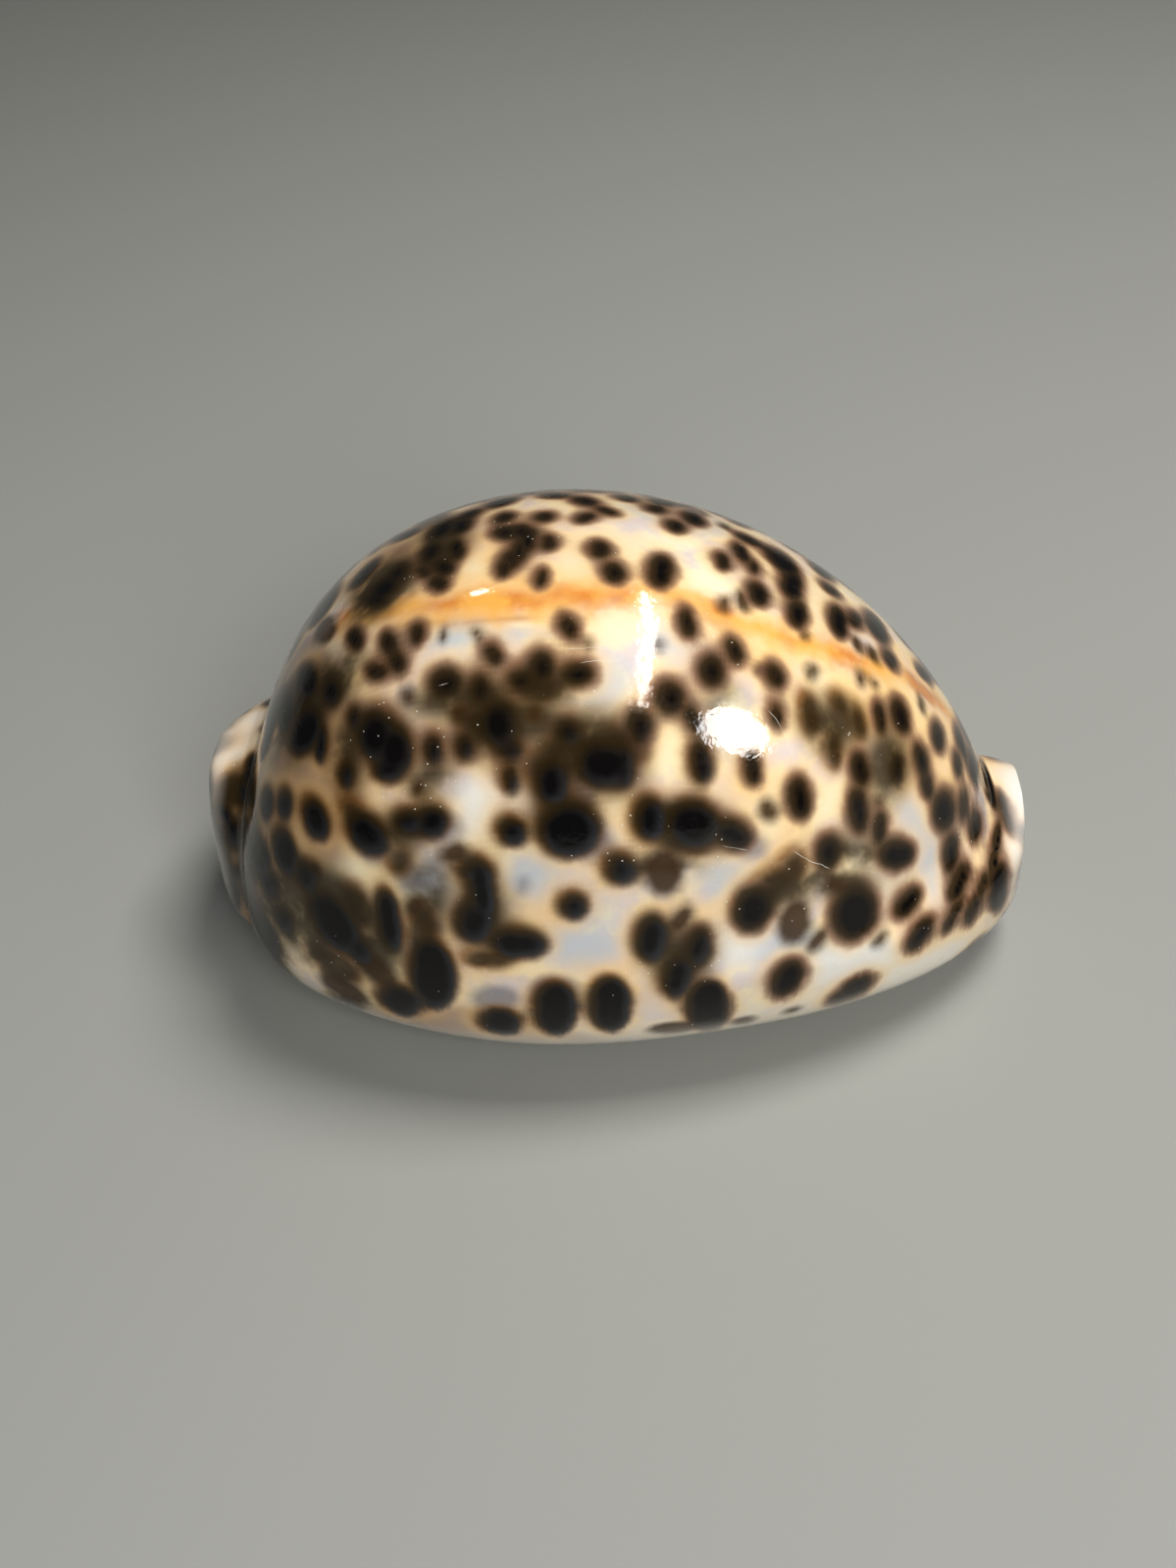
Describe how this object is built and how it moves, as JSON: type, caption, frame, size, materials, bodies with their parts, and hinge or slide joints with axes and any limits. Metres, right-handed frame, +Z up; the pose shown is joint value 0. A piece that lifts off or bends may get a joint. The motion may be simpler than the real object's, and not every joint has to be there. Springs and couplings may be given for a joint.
{
  "type": "tiger cowrie shell",
  "caption": "Glossy egg-shaped cowrie shell with dark spots on a cream ground, resting on its toothed lips.",
  "frame": {"origin": "below the middle of the shell, on the surface that its lips rest on", "axes": "+X towards the narrower front end, +Y towards the inner lip, +Z up through the dome"},
  "size_m": [0.088, 0.0616, 0.0503],
  "materials": {
    "glossy_shell": "glossy, like porcelain"
  },
  "bodies": {
    "root": {"cowrie_shell": "glossy_shell"}
  },
  "joints": []
}
